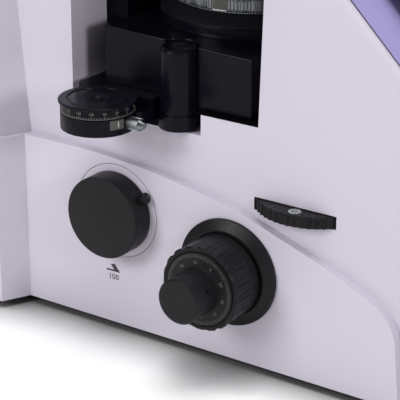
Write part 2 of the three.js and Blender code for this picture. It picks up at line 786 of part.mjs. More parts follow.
function stageY() {
  const lug = box([90, KNOB_X + 14], [STAGE_KNOB_Y - 14, STAGE_KNOB_Y + 14], [STAGE_Z[2], STAGE_Z[3]]);
  const plate = slab(100, -114, 101, STAGE_Z[2], STAGE_Z[3]).add(lug);
  return cut(plate, rod("z", 50, 260, 300, [0, OPTIC_Y, 0], FINE));
}

function stageX() {
  return cut(
    slab(92, -108, 95, STAGE_Z[4], STAGE_Z[5]),
    rod("z", 46, 260, 310, [0, OPTIC_Y, 0], FINE),
    rod("z", 55.3, STAGE_Z[5] - 4, 310, [0, OPTIC_Y, 0], FINE),
  );
}

function stageInsert() {
  const z = STAGE_Z[5];
  const profile = [[15, z - 3.7], [55, z - 3.7], [55, z], [12, z], [12, z - 1], [15, z - 3.7]];
  return turned("z", profile, [0, 0, 0], FINE);
}

function stageYKnob() {
  return turned("z", [
    [4.4, STAGE_Z[2] - 0.3],
    [4.4, 232],
    [13, 232],
    [14, 233],
    [14, 249],
    [13, 250],
    [6.5, 250],
    [6.5, STAGE_Z[2] - 0.3],
    [4.4, STAGE_Z[2] - 0.3],
  ], [0, 0, 0], ROUND);
}

function stageXKnob() {
  return turned("z", [
    [0, 210],
    [9.5, 210],
    [10.5, 211],
    [10.5, 230.5],
    [9.5, 231.5],
    [4, 231.5],
    [4, STAGE_Z[2] - 0.3],
    [0, STAGE_Z[2] - 0.3],
  ], [0, 0, 0], ROUND);
}

piece("stage_base_plate", stageBase(), blackPaint);
piece("stage_y_plate", stageY(), blackPaint);
piece("stage_x_plate", stageX(), blackPaint);
piece("stage_insert", stageInsert(), steel, stand, [0, OPTIC_Y, 0]);
piece("stage_y_knob", stageYKnob(), blackPlastic, stand, [KNOB_X, STAGE_KNOB_Y, 0]);
piece("stage_x_knob", stageXKnob(), blackPlastic, stand, [KNOB_X, STAGE_KNOB_Y, 0]);

// ---------- binocular head, in a frame whose +Z leaves the slope squarely ----------
const EYE_X = 37;
const EYE_END = 205;
const ARM_Z = [58.3, 96];

const head = new THREE.Group();
head.position.set(0, HEAD_SEAT_Y, HEAD_SEAT_Z);
head.rotation.x = Math.PI / 4;
stand.add(head);

function headFlange() {
  return turned("z", [
    [22, -7],
    [31, -7],
    [31, 0.4],
    [40, 0.4],
    [40, 6],
    [38, 8],
    [22, 8],
    [22, -7],
  ], [0, 0, 0], FINE);
}

function headBody() {
  const outline = outlineOf([
    [-52, -26],
    [-40, -36],
    [40, -36],
    [52, -26],
    [52, 24],
    [38, 36],
    [-38, 36],
    [-52, 24],
  ]);
  const block = planProfile(outline, 8.3, ARM_Z[0] - GAP);
  return cut(block, rod("z", 15, 0, 70));
}

// One swinging arm with its eyepiece tube. The two arms half-lap on the head's axis.
function eyepieceArm(side, lap) {
  const blockR = 21;
  const pivotR = 15.2;
  const hub = rod("z", pivotR, lap[0], lap[1]);
  const webOutline = outlineOf([
    [0, -pivotR],
    [side * EYE_X, -blockR + 1],
    [side * EYE_X, blockR - 1],
    [0, pivotR],
  ]);
  const web = planProfile(webOutline, ...lap);
  const block = rod("z", blockR, ARM_Z[0], ARM_Z[1], [side * EYE_X, 0, 0]);
  const neck = rod("z", 15.5, ARM_Z[1] - 1, 160, [side * EYE_X, 0, 0]);
  const middle = (lap[0] + lap[1]) / 2;
  const channel = [0, side * EYE_X].sort((a, b) => a - b);
  return cut(
    joined(hub, web, block, neck),
    rod("z", 11.8, middle - 6, 170, [side * EYE_X, 0, 0]),
    box(channel, [-8, 8], [middle - 6, middle + 6]),
    rod("z", 8, lap[0] - 1, middle + 5, [0, 0, 0], SMALL),
  );
}

function eyepiece(shoulder) {
  return turned("z", [
    [8, 125],
    [11.5, 125],
    [11.5, shoulder],
    [16.5, shoulder],
    [16.5, EYE_END - 14],
    [18, EYE_END - 10],
    [18, EYE_END - 1],
    [16.5, EYE_END],
    [12.5, EYE_END],
    [9, EYE_END - 9],
    [8, EYE_END - 14],
    [8, 125],
  ], [0, 0, 0], ROUND);
}

const LOWER_LAP = [ARM_Z[0], 77];
const UPPER_LAP = [77.3, ARM_Z[1]];
piece("head_flange", headFlange(), darkMetal, head);
piece("head_body", headBody(), lilacPaint, head);
piece("eyepiece_arm_left", eyepieceArm(-1, LOWER_LAP), blackPaint, head);
piece("eyepiece_arm_right", eyepieceArm(1, UPPER_LAP), blackPaint, head);
piece("diopter_ring", tube("z", 11.9, 17.2, 160.4, 171, [0, 0, 0]), blackPlastic, head, [-EYE_X, 0, 0]);
piece("eyepiece_left", eyepiece(171.4), blackPlastic, head, [-EYE_X, 0, 0]);
piece("eyepiece_right", eyepiece(160.4), blackPlastic, head, [EYE_X, 0, 0]);

// ---------- electrics on the rear wall ----------
function powerInlet() {
  const body = box([-13.7, 13.7], [REAR_Y - 20, REAR_Y + 1], [34.3, 55.7]);
  const flange = box([-17, 17], [REAR_Y + 0.3, REAR_Y + 2.8], [31, 59]);
  const recess = box([-11, 11], [REAR_Y - 14, REAR_Y + 5], [37, 53]);
  const pins = [[-6, 43], [6, 43], [0, 48]].map(([x, z]) => (
    box([x - 1, x + 1], [REAR_Y - 15, REAR_Y - 5], [z - 2, z + 2])
  ));
  return joined(cut(body.add(flange), recess), ...pins);
}

function powerSwitch() {
  const rocker = outlineOf([
    [-12, -9],
    [0, -9],
    [2.5, -9.5],
    [1.2, 0],
    [2.5, 9.5],
    [0, 9],
    [-12, 4],
    [-12, -4],
  ]);
  return sideProfile(rocker, 6);
}

piece("power_inlet", powerInlet(), blackPlastic, stand, [55, 0, 0]);
piece("power_switch", powerSwitch(), blackPlastic, stand, [8, REAR_Y, 45]);

export default microscope;
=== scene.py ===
import json
import math

import bmesh
import bpy
from mathutils import Matrix, Vector

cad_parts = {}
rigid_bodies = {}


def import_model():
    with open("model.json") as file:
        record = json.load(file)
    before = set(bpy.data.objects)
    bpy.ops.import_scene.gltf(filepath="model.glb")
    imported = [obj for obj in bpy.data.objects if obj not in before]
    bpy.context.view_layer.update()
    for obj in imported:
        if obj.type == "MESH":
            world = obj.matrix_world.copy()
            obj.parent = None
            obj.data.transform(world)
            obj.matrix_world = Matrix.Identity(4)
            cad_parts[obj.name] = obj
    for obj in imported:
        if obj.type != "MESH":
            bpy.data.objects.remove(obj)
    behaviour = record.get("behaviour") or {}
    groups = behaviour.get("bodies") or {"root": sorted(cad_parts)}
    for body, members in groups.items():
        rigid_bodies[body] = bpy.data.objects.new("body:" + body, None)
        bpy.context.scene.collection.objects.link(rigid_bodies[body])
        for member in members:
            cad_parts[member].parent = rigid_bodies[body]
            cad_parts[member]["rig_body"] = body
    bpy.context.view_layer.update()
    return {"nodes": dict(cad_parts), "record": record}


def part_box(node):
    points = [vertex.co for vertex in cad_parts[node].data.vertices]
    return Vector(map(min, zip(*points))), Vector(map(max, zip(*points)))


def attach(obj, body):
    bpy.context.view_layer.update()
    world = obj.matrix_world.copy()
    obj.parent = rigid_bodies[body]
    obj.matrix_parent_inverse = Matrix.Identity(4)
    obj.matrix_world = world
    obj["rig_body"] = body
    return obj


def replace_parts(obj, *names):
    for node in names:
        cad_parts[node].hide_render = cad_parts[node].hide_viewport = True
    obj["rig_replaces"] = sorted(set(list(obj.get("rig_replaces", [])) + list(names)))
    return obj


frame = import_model()

# ---------- the stand's own frame: millimetres, y = 0 at the side camera port ----------
MM = 0.001
port_lo, port_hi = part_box("port_tube")
STAND = Matrix.Translation((0, (port_lo.y + port_hi.y) / 2, 0)) @ Matrix.Scale(MM, 4)
HEAD = STAND @ Matrix.Translation((0, -164.8, 219.8)) @ Matrix.Rotation(math.pi / 4, 4, "X")

OPTIC_Y = -6.5
TURRET_Y = -39
PORT_Z = 81
PANEL_X = 90
CORE_X = 84
COVER_X = 79.5
FRONT_Y = -215
SLOPE = 384.6                    # height less depth, the same all along the sloping front
BAY_Y = (-97, 36.5)
SILL_Z = 152
FOCUS = (0, -82.1, 61.4)
DIAL = (-113.6, -5.5, 0)
WHEEL = (-59.5, -122.5, 0)
CLAMP = (-113.6, -5.5, 150)
BOSS_X = 79
STAGE_KNOB = (118, -40, 0)
STAGE_TOP = 295
EYE_X = 37
EYE_END = 205

scene = bpy.context.scene
collection = scene.collection


# ---------- materials ----------
def linear(rgb):
    return tuple(c / 12.92 if c <= 0.04045 else ((c + 0.055) / 1.055) ** 2.4 for c in rgb) + (1.0,)


def noise(nodes, links, scale, detail=3.0, rough=0.55):
    coords = nodes.new("ShaderNodeTexCoord")
    tex = nodes.new("ShaderNodeTexNoise")
    tex.inputs["Scale"].default_value = scale
    tex.inputs["Detail"].default_value = detail
    tex.inputs["Roughness"].default_value = rough
    links.new(coords.outputs["Object"], tex.inputs["Vector"])
    return tex.outputs["Fac"]


def ramp(nodes, links, fac, low, high):
    node = nodes.new("ShaderNodeMapRange")
    node.inputs["From Min"].default_value = 0.3
    node.inputs["From Max"].default_value = 0.7
    node.inputs["To Min"].default_value = low
    node.inputs["To Max"].default_value = high
    links.new(fac, node.inputs["Value"])
    return node.outputs["Result"]


def finish(name, rgb, rough, metal=0.0, mottle=0.05, grain=900.0, bump=0.06, spread=0.06,
           specular=0.5):
    """A painted, moulded or machined surface: cloudy tone, uneven gloss and a fine surface grain."""
    mat = bpy.data.materials.new(name)
    mat.use_nodes = True
    nodes, links = mat.node_tree.nodes, mat.node_tree.links
    shader = nodes["Principled BSDF"]
    shader.inputs["Metallic"].default_value = metal
    shader.inputs["Specular IOR Level"].default_value = specular
    base = linear(rgb)
    tone = nodes.new("ShaderNodeMix")
    tone.data_type = "RGBA"
    tone.inputs["A"].default_value = tuple(c * (1 - mottle) for c in base[:3]) + (1,)
    tone.inputs["B"].default_value = tuple(min(1, c * (1 + mottle)) for c in base[:3]) + (1,)
    links.new(noise(nodes, links, 14.0), tone.inputs["Factor"])
    links.new(tone.outputs["Result"], shader.inputs["Base Color"])
    fine = noise(nodes, links, grain, 2.0)
    gloss = ramp(nodes, links, noise(nodes, links, 60.0), rough - spread, rough + spread)
    links.new(gloss, shader.inputs["Roughness"])
    relief = nodes.new("ShaderNodeBump")
    relief.inputs["Strength"].default_value = bump
    relief.inputs["Distance"].default_value = 0.0004
    links.new(fine, relief.inputs["Height"])
    links.new(relief.outputs["Normal"], shader.inputs["Normal"])
    return mat


def glassy(name, rgb, rough=0.03):
    mat = finish(name, rgb, rough, mottle=0.01, bump=0.005, spread=0.01)
    shader = mat.node_tree.nodes["Principled BSDF"]
    shader.inputs["Transmission Weight"].default_value = 0.9
    shader.inputs["IOR"].default_value = 1.5
    return mat


LILAC = finish("lilac_paint", (0.752, 0.727, 0.780), 0.42, mottle=0.012, grain=1400, bump=0.05,
               specular=0.35)
VIOLET = finish("violet_paint", (0.610, 0.575, 0.765), 0.42, mottle=0.015, grain=1400, bump=0.05,
                specular=0.35)
BLACK = finish("black_paint", (0.040, 0.040, 0.075), 0.22, mottle=0.10, grain=1600, bump=0.05,
               spread=0.05, specular=0.09)
PLASTIC = finish("black_plastic", (0.092, 0.092, 0.102), 0.38, mottle=0.06, grain=2200, bump=0.14,
                 specular=0.14)
METAL = finish("black_metal", (0.080, 0.080, 0.090), 0.34, mottle=0.08, grain=2600, bump=0.08,
               specular=0.25)
BRIGHT = finish("bright_steel", (0.58, 0.60, 0.61), 0.26, metal=1.0, mottle=0.05, grain=3000, bump=0.05)
GRIP = finish("grip_steel", (0.47, 0.48, 0.49), 0.32, metal=1.0, mottle=0.05, grain=3000, bump=0.05)
STEEL = finish("steel", (0.60, 0.61, 0.63), 0.30, metal=1.0, mottle=0.06, grain=2400, bump=0.05)
CHROME = finish("objective_chrome", (0.80, 0.81, 0.83), 0.20, metal=1.0, mottle=0.03, grain=2600, bump=0.02)
CAST = finish("cast_black", (0.075, 0.075, 0.092), 0.45, mottle=0.2, grain=1300, bump=0.5, specular=0.15)
RUBBER = finish("rubber", (0.085, 0.085, 0.088), 0.80, mottle=0.10, grain=1500, bump=0.30, specular=0.25)
MIRROR = finish("mirror", (0.90, 0.91, 0.92), 0.05, metal=1.0, mottle=0.01, bump=0.005, spread=0.01)
GLASS = glassy("glass", (0.86, 0.93, 0.95))
# near-black for the cover seals and set screws, and painted shade for the strips on the sills
DEEP_BLACK_AND_SHADE = finish("shadow_black", (0.025, 0.025, 0.03), 0.7, mottle=0.1, bump=0.1, specular=0.04)
PRINT = finish("grey_print", (0.17, 0.16, 0.18), 0.55, mottle=0.08, bump=0.02)
WHITE_PRINT = finish("white_print", (0.72, 0.72, 0.68), 0.5, mottle=0.05, bump=0.02)
GREY_PRINT = finish("scale_print", (0.36, 0.36, 0.32), 0.5, mottle=0.08, bump=0.02)
DIAL_PRINT = finish("dial_print", (0.40, 0.40, 0.36), 0.5, mottle=0.06, bump=0.02)
SYMBOL = finish("symbol_grey", (0.60, 0.62, 0.64), 0.5, mottle=0.06, bump=0.02)
PATCH = finish("index_patch", (0.27, 0.265, 0.25), 0.5, mottle=0.06, bump=0.05)
RED = finish("red_ring", (0.72, 0.10, 0.10), 0.4)
YELLOW = finish("yellow_ring", (0.85, 0.70, 0.10), 0.4)
GREEN = finish("green_ring", (0.10, 0.55, 0.25), 0.4)
BLUE = finish("blue_ring", (0.15, 0.40, 0.75), 0.4)
SLOT_OF = {
    "lilac_paint": LILAC, "violet_paint": VIOLET, "black_paint": BLACK, "black_plastic": PLASTIC,
    "black_metal": METAL, "bright_steel": BRIGHT, "steel": STEEL, "rubber": RUBBER, "glass": GLASS,
    "mirror": MIRROR, "objective_chrome": CHROME,
}


# ---------- mesh helpers ----------
def settle(bm, name, place=STAND, sharp=38):
    """Turns a bmesh in millimetres into a mesh in the row frame, smooth but for its sharp edges."""
    bmesh.ops.recalc_face_normals(bm, faces=bm.faces)
    bmesh.ops.transform(bm, matrix=place, verts=bm.verts)
    mesh = bpy.data.meshes.new(name)
    bm.to_mesh(mesh)
    bm.free()
    mesh.shade_smooth()
    mesh.set_sharp_from_angle(angle=math.radians(sharp))
    return mesh


def add(name, mesh, body, material, replaces=()):
    obj = bpy.data.objects.new(name, mesh)
    collection.objects.link(obj)
    mesh.materials.append(material)
    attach(obj, body)
    if replaces:
        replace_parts(obj, *replaces)
    return obj


def weighted(obj):
    mod = obj.modifiers.new("weighted", "WEIGHTED_NORMAL")
    mod.keep_sharp = True


def filleted(profile, radius, steps=3):
    """Rounds the corners of a profile of (r, t) points. Points on the axis stay as they are."""
    pts = [Vector(p[:2]) for p in profile]
    closed = (pts[0] - pts[-1]).length < 1e-6
    if closed:
        pts = pts[:-1]
    out = []
    count = len(pts)
    for i, p in enumerate(pts):
        ends = not closed and i in (0, count - 1)
        a, b = pts[i - 1], pts[(i + 1) % count]
        if ends or radius <= 0:
            out.append(p)
            continue
        da, db = a - p, b - p
        turn = da.angle(db)
        if turn > math.radians(165):
            out.append(p)
            continue
        r = min(radius, 0.45 * min(da.length, db.length) * math.tan(turn / 2))
        reach = r / math.tan(turn / 2)
        start, end = p + da.normalized() * reach, p + db.normalized() * reach
        for k in range(steps + 1):
            f = k / steps
            out.append(start * (1 - f) ** 2 + p * 2 * f * (1 - f) + end * f ** 2)
    if closed:
        out.append(out[0].copy())
    return out


AXES = {
    "x": lambda r, a, t: (t, r * math.cos(a), r * math.sin(a)),
    "y": lambda r, a, t: (r * math.cos(a), t, r * math.sin(a)),
    "z": lambda r, a, t: (r * math.cos(a), r * math.sin(a), t),
}


def lathe(bm, axis, profile, centre=(0, 0, 0), sides=96, fillet=0.35, shape=None):
    """Adds a body of revolution. shape(r, angle, t) may change the radius, for ribs and knurls."""
    pts = filleted(profile, fillet)
    closed = (pts[0] - pts[-1]).length < 1e-6
    if closed:
        pts = pts[:-1]
    rings = []
    for r, t in pts:
        if r < 1e-6:
            rings.append([bm.verts.new(Vector(AXES[axis](0, 0, t)) + Vector(centre))] * sides)
            continue
        ring = []
        for k in range(sides):
            a = 2 * math.pi * k / sides
            radius = shape(r, a, t) if shape else r
            ring.append(bm.verts.new(Vector(AXES[axis](radius, a, t)) + Vector(centre)))
        rings.append(ring)
    pairs = list(zip(rings, rings[1:])) + ([(rings[-1], rings[0])] if closed else [])
    for low, high in pairs:
        for k in range(sides):
            n = (k + 1) % sides
            corners = list(dict.fromkeys([low[k], low[n], high[n], high[k]]))
            if len(corners) > 2:
                bm.faces.new(corners)
    return bm


def turned(name, axis, profile, body, material, slot, replaces=(), centre=(0, 0, 0), place=STAND,
           **options):
    bm = lathe(bmesh.new(), axis, profile, centre, **options)
    return add(name, settle(bm, name, place), body, material, replaces)


def ribs(count, depth, width=0.5, span=None):
    """A radius change for raised ribs: each rib fills a share `width` of its pitch."""
    def shape(r, a, t):
        if span and not span[0] <= t <= span[1]:
            return r
        u = a / (2 * math.pi) * count % 1.0
        edge = min(1.0, max(0.0, (width / 2 - abs(u - 0.5)) / 0.12 + 0.5))
        return r - depth * (1 - edge)
    return shape


def block(bm, x, y, z, turn=None):
    verts = [bm.verts.new((i, j, k)) for k in z for j in y for i in x]
    for f in ((0, 1, 3, 2), (4, 6, 7, 5), (0, 4, 5, 1), (2, 3, 7, 6), (0, 2, 6, 4), (1, 5, 7, 3)):
        bm.faces.new([verts[i] for i in f])
    if turn:
        bmesh.ops.transform(bm, matrix=turn, verts=verts)
    return verts


def prism(bm, outline, low, high, lift=lambda u, v, w: (u, v, w)):
    """Extrudes a closed outline of (u, v) points between two levels."""
    rings = [[bm.verts.new(lift(u, v, w)) for u, v in outline] for w in (low, high)]
    count = len(outline)
    bm.faces.new(rings[0][::-1])
    bm.faces.new(rings[1])
    for k in range(count):
        n = (k + 1) % count
        bm.faces.new([rings[0][k], rings[0][n], rings[1][n], rings[1][k]])


def lettering(bm, text, size, place, depth=0.12):
    """Adds the raised solid of a short number, its middle at the origin of `place`, facing +Z there."""
    curve = bpy.data.curves.new("digits", "FONT")
    curve.body = text
    curve.size = size
    curve.align_x = "CENTER"
    curve.align_y = "CENTER"
    curve.extrude = depth / 2
    curve.resolution_u = 3
    obj = bpy.data.objects.new("digits", curve)
    collection.objects.link(obj)
    bpy.context.view_layer.update()
    mesh = bpy.data.meshes.new_from_object(obj.evaluated_get(bpy.context.evaluated_depsgraph_get()))
    bpy.data.objects.remove(obj)
    bpy.data.curves.remove(curve)
    part = bmesh.new()
    part.from_mesh(mesh)
    bpy.data.meshes.remove(mesh)
    bmesh.ops.remove_doubles(part, verts=part.verts, dist=1e-4)
    bmesh.ops.transform(part, matrix=place, verts=part.verts)
    verts = [bm.verts.new(v.co) for v in part.verts]
    part.verts.index_update()
    for face in part.faces:
        bm.faces.new([verts[v.index] for v in face.verts])
    part.free()


def frame_of(origin, right, up):
    """A placing matrix: local X along `right`, local Y along `up`."""
    x, y = Vector(right).normalized(), Vector(up).normalized()
    z = x.cross(y)
    rows = Matrix((x, y, z)).transposed().to_4x4()
    return Matrix.Translation(origin) @ rows


CORNER = math.radians(30)


def softened(name, node, material, width, keep=None, wide=(), reshape=None):
    """A copy of a CAD solid with its real edges rounded. `wide` gives broader rounds to chosen edges."""
    bm = bmesh.new()
    bm.from_mesh(frame["nodes"][node].data)
    bmesh.ops.transform(bm, matrix=STAND.inverted(), verts=bm.verts)
    bmesh.ops.remove_doubles(bm, verts=bm.verts, dist=0.003)
    if reshape:
        for v in bm.verts:
            v.co = reshape(v.co)
    bmesh.ops.dissolve_limit(bm, angle_limit=math.radians(0.6), verts=bm.verts, edges=bm.edges)

    def corners():
        bent = [e for e in bm.edges if len(e.link_faces) == 2 and e.calc_face_angle() > CORNER]
        return [e for e in bent if keep is None or keep(e)]

    def bevel(edges, offset, segments, clamp):
        bmesh.ops.bevel(bm, geom=edges, offset=offset, segments=segments, profile=0.5, affect="EDGES",
                        clamp_overlap=clamp)

    for chosen, broad in wide:
        bevel([e for e in corners() if chosen(e)], broad, 6, False)
    bevel([e for e in corners() if not any(w[0](e) for w in wide)], width, 3, True)
    body = frame["nodes"][node]["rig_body"]
    obj = add(name, settle(bm, name), body, material, (node,))
    weighted(obj)
    return obj


# ---------- camera, floor and light ----------
def camera():
    data = bpy.data.cameras.new("view")
    data.lens = 147.893
    data.sensor_width = 36
    data.clip_start, data.clip_end = 0.05, 30
    obj = bpy.data.objects.new("view", data)
    collection.objects.link(obj)
    right = Vector((0.56507105, -0.82503567, 0.00329389))
    up = Vector((0.30443914, 0.21221921, 0.92859023))
    turn = Matrix((right, up, right.cross(up))).transposed().to_4x4()
    obj.matrix_world = Matrix.Translation(STAND @ Vector((-828.070, -565.570, 459.093))) @ turn
    scene.camera = obj


def floor_finish():
    """Pale floor with a painted contact shadow: its colour darkens softly in the gap under the stand."""
    mat = finish("floor", (0.97, 0.97, 0.97), 0.6, mottle=0.004, bump=0.01, specular=0.1)
    nodes, links = mat.node_tree.nodes, mat.node_tree.links
    # painted shade: ambient occlusion mixes the floor colour towards dark grey near the stand
    near = nodes.new("ShaderNodeAmbientOcclusion")
    near.samples = 12
    near.inputs["Distance"].default_value = 0.045
    deep = nodes.new("ShaderNodeMapRange")
    deep.inputs["From Min"].default_value = 0.32
    deep.inputs["From Max"].default_value = 0.94
    links.new(near.outputs["AO"], deep.inputs["Value"])
    tone = nodes.new("ShaderNodeMix")
    tone.data_type = "RGBA"
    tone.inputs["A"].default_value = (0.12, 0.121, 0.123, 1)
    tone.inputs["B"].default_value = (0.97, 0.97, 0.97, 1)
    links.new(deep.outputs["Result"], tone.inputs["Factor"])
    links.new(tone.outputs["Result"], nodes["Principled BSDF"].inputs["Base Color"])
    return mat


def floor():
    bm = bmesh.new()
    bmesh.ops.create_grid(bm, x_segments=8, y_segments=8, size=6)
    mesh = bpy.data.meshes.new("floor")
    bm.to_mesh(mesh)
    bm.free()
    obj = bpy.data.objects.new("floor", mesh)
    collection.objects.link(obj)
    mesh.materials.append(floor_finish())


def area_light(name, place, target, size, power):
    data = bpy.data.lights.new(name, "AREA")
    data.shape = "RECTANGLE"
    data.size, data.size_y = size
    data.energy = power
    obj = bpy.data.objects.new(name, data)
    collection.objects.link(obj)
    obj.location = place
    obj.rotation_mode = "QUATERNION"
    obj.rotation_quaternion = (Vector(target) - Vector(place)).to_track_quat("-Z", "Y")


def lights():
    world = bpy.data.worlds.new("studio")
    world.use_nodes = True
    background = world.node_tree.nodes["Background"]
    background.inputs["Color"].default_value = (1, 1, 1, 1)
    background.inputs["Strength"].default_value = 0.14
    scene.world = world
    area_light("key", (-1.6, 0.6, 1.0), (0, 0, 0.12), (0.75, 0.75), 22)
    area_light("front", (-0.62, -1.5, 0.66), (0, 0, 0.15), (0.3, 0.3), 8.5)
    area_light("top", (-0.2, -0.3, 2.3), (0, 0, 0), (1.2, 1.2), 32)


camera()
floor()
lights()
scene.view_settings.view_transform = "Standard"


# ---------- housing and covers ----------
def near_hole(e):
    """Rims that another round piece covers stay sharp, so that no gap opens under it."""
    for v in e.verts:
        if abs(abs(v.co.x) - PANEL_X) > 4:
            return True
        to_port = math.hypot(v.co.y, v.co.z - PORT_Z) > 32
        to_focus = math.hypot(v.co.y - FOCUS[1], v.co.z - FOCUS[2]) > 12
        if to_port and to_focus:
            return True
    return False


def on_slope(e):
    """The outer edges of the front and of its slope have the broadest rounds."""
    a, b = (v.co for v in e.verts)
    outer = all(abs(abs(p.x) - CORE_X) < 0.2 for p in (a, b))
    sloped = all(abs(p.z - p.y - SLOPE) < 0.6 for p in (a, b))
    upright = all(abs(p.y - FRONT_Y) < 0.2 for p in (a, b)) and abs(a.z - b.z) > 20
    return outer and (sloped or upright)


def visible(e):
    """Only edges on the outside of the casting are rounded."""
    middle = (e.verts[0].co + e.verts[1].co) / 2
    inside = abs(middle.x) < COVER_X and -206 < middle.y < 219 and middle.z < 264.5
    bay = BAY_Y[0] - 0.5 < middle.y < BAY_Y[1] + 0.5 and middle.z > 139 and abs(middle.x) < 85
    recess = middle.z - middle.y > 377
    return near_hole(e) and (not inside or bay or recess)


LEAN = 0.031


def lean_bay(p):
    """The bay's front wall leans a little towards the front."""
    if abs(p.y - BAY_Y[0]) < 0.3 and p.z > SILL_Z - 2:
        return Vector((p.x, p.y - LEAN * (p.z - SILL_Z), p.z))
    return p


def narrow_cover(p):
    """The cover leaves a joint of 1.3 mm on each side for its seal."""
    return Vector((p.x * 78.2 / COVER_X if abs(p.x) > 79 else p.x, p.y, p.z))


def cover_seals():
    """Black strips in the joint between the front cover and the casting."""
    bm = bmesh.new()
    for side in (-1, 1):
        x = sorted((side * 77.9, side * 79.75))
        place = frame_of((0, 0, 0), (1, 0, 0), (0, 1, 1))
        along = [(2 * z - SLOPE) / math.sqrt(2) for z in (173, 262)]
        deep = SLOPE / math.sqrt(2)
        block(bm, x, along, (deep - 3.3, deep - 0.7), place)
    add("cover_seals", settle(bm, "seals"), "stand", DEEP_BLACK_AND_SHADE)


softened("housing", "main_housing", LILAC, 0.9, keep=visible, wide=((on_slope, 3.4),),
         reshape=lean_bay)
softened("front_cover", "front_panel", VIOLET, 0.8, reshape=narrow_cover)
cover_seals()


def bay_shade_strips():
    """Black strips on the sills under the carriage: painted shade where the gap beneath it looks black."""
    bm = bmesh.new()
    for side in (-1, 1):
        # painted shade laid on each sill top
        block(bm, sorted((side * 60, side * 83.7)), (-96.8, -52.5), (SILL_Z - 0.05, SILL_Z + 0.4))
    add("sill_painted_shade", settle(bm, "strips"), "stand", DEEP_BLACK_AND_SHADE)


bay_shade_strips()


# ---------- side camera port ----------
def port():
    centre = (0, 0, PORT_Z)
    face = -PANEL_X
    turned("port_ring_face", "x", [
        (21.9, face + 2.6), (21.9, face - 0.3), (29.75, face - 0.3), (29.75, face + 0.9),
        (30.2, face + 0.9), (30.2, face - 0.08), (32.4, face - 0.03), (32.6, face + 0.2), (29, face + 2.6),
        (21.9, face + 2.6),
    ], "stand", LILAC, "lilac_paint", ("port_ring",), centre, sides=144, fillet=0.06)
    end = face - 15.3
    turned("dust_cap", "x", [
        (0, end), (25.8, end), (25.8, face - 0.7), (21.4, face - 0.7), (21.4, end + 4), (0, end + 4),
    ], "dust_cap", PLASTIC, "black_plastic", ("port_cap",), centre, sides=144, fillet=0.55)
    angle = math.radians(31)
    out = Vector((0, -math.cos(angle), math.sin(angle)))
    place = STAND @ frame_of(Vector((-94.2, 0, PORT_Z)), (1, 0, 0), out.cross(Vector((1, 0, 0))))
    turned("cap_clamp_screw", "z", [
        (0, 21.8), (1.8, 21.8), (1.8, 26.4), (3.4, 26.4), (3.4, 30.2), (2.6, 30.2), (1.5, 29.4), (0, 29.4),
    ], "cap_screw", METAL, "black_metal", ("port_lock_screw",), place=place, sides=72, fillet=0.2,
        shape=ribs(18, 0.22, 0.6, (26.6, 29.9)))


def port_marks():
    """A bent arrow and a share in per cent, printed below the port."""
    face = -PANEL_X - 0.05
    bm = bmesh.new()
    arrow = [(5.3, 43.9), (2.2, 44.9), (-1.9, 39.7), (8.4, 39.5), (8.4, 40.6), (2.6, 40.8)]
    prism(bm, arrow, face - 0.06, face, lambda u, v, w: (w, u, v))
    place = frame_of(Vector((face, 3.1, 35.8)), (0, -1, 0), (0, 0, 1))
    lettering(bm, "100", 5.4, place)
    add("port_marks", settle(bm, "port_marks"), "stand", PRINT)


port()
port_marks()


# ---------- coaxial focus ----------
def coarse_shape(r, a, t):
    """Grip pads with grooves between them, which run in from the knob's outer end."""
    if r < 25 or not -121.3 < t < -104.4:
        return r
    u = abs((math.degrees(a) - PAD_PHASE) % PAD_PITCH - PAD_PITCH / 2)
    groove = max(0.0, 1 - abs(u - 6.4) / 0.9)
    valley = min(1.0, max(0.0, (u - 6.4) / 0.8))
    fade = min(1.0, max(0.0, (-104.4 - t) / 1.0))
    rim = min(1.0, max(0.0, (-117.6 - t) / 2.2))
    return r - fade * (0.7 * groove + 0.2 * valley + 0.6 * rim * valley)


PADS = 18
PAD_PITCH = 360 / PADS
PAD_PHASE = 1.2
COARSE_R = 25.6
SCREW_ANGLE = math.radians(154.6)


def dense(profile, step):
    """Splits long runs of a profile, so that a radius change has points to work on."""
    out = []
    for a, b in zip(profile, profile[1:]):
        count = max(1, round(math.dist(a, b) / step))
        out += [tuple(a[i] + (b[i] - a[i]) * k / count for i in (0, 1)) for k in range(count)]
    return out + [profile[-1]]


